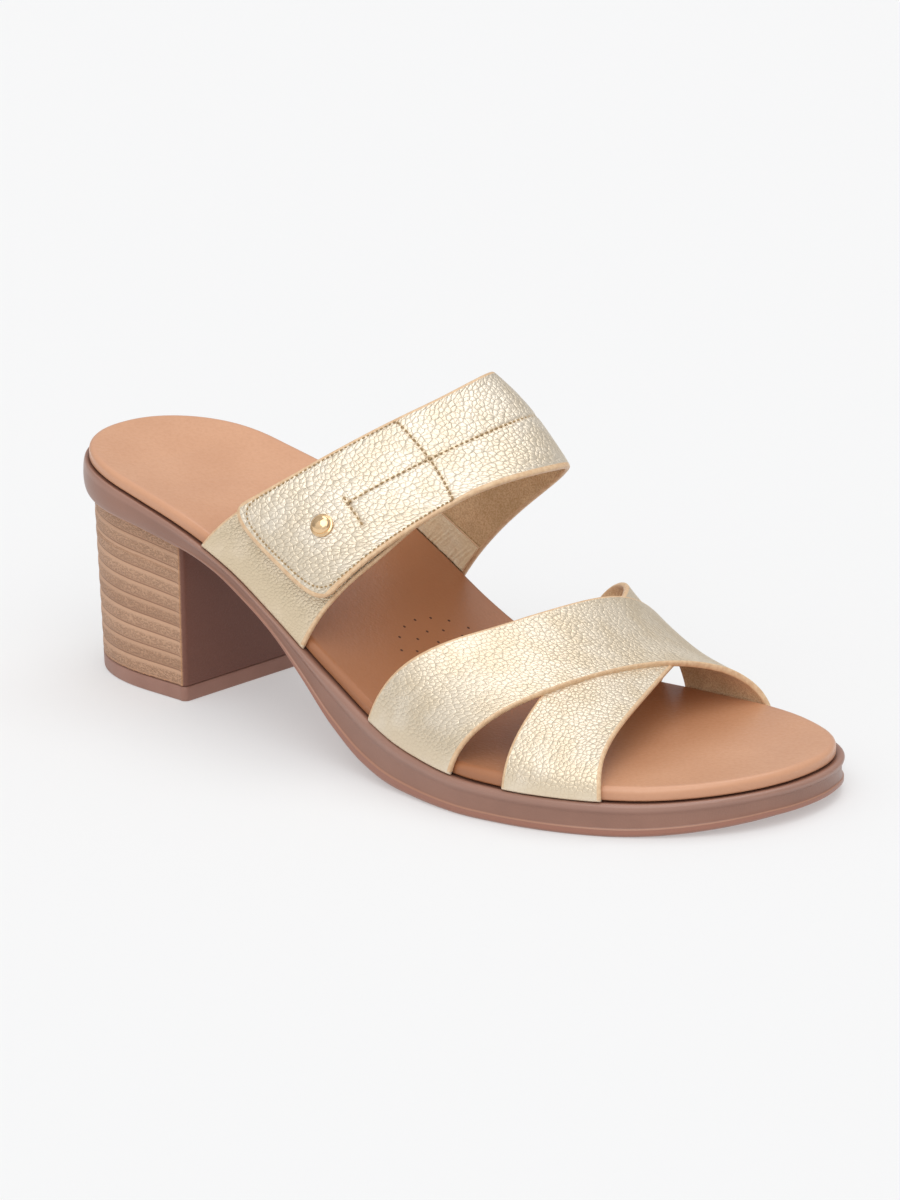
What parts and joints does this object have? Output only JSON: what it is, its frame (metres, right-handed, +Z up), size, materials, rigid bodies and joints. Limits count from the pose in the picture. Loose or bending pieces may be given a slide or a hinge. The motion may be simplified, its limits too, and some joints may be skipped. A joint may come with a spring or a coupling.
{
  "type": "sandal",
  "caption": "Open-toe slide sandal on a stacked block heel, with a wide instep strap that closes on the outer side and two crossing toe straps.",
  "frame": {"origin": "middle of the shoe's box, on the floor", "axes": "+X from heel to toe, +Y toward the inner side (big toe), +Z up"},
  "size_m": [0.2428, 0.0996, 0.0961],
  "materials": {
    "sole_rubber": "satin",
    "stacked_heel": "satin",
    "top_lift": "matte",
    "footbed_leather": "satin",
    "strap_leather": "metallic",
    "loop_tape": "matte",
    "stud_metal": "polished"
  },
  "bodies": {
    "root": {"outsole": "sole_rubber", "heel_block": "stacked_heel", "heel_toplift": "top_lift", "insole": "footbed_leather", "cross_straps": "strap_leather", "instep_strap": "strap_leather", "instep_strap_base": "strap_leather", "closure_tape": "loop_tape", "stud": "stud_metal"}
  },
  "joints": []
}
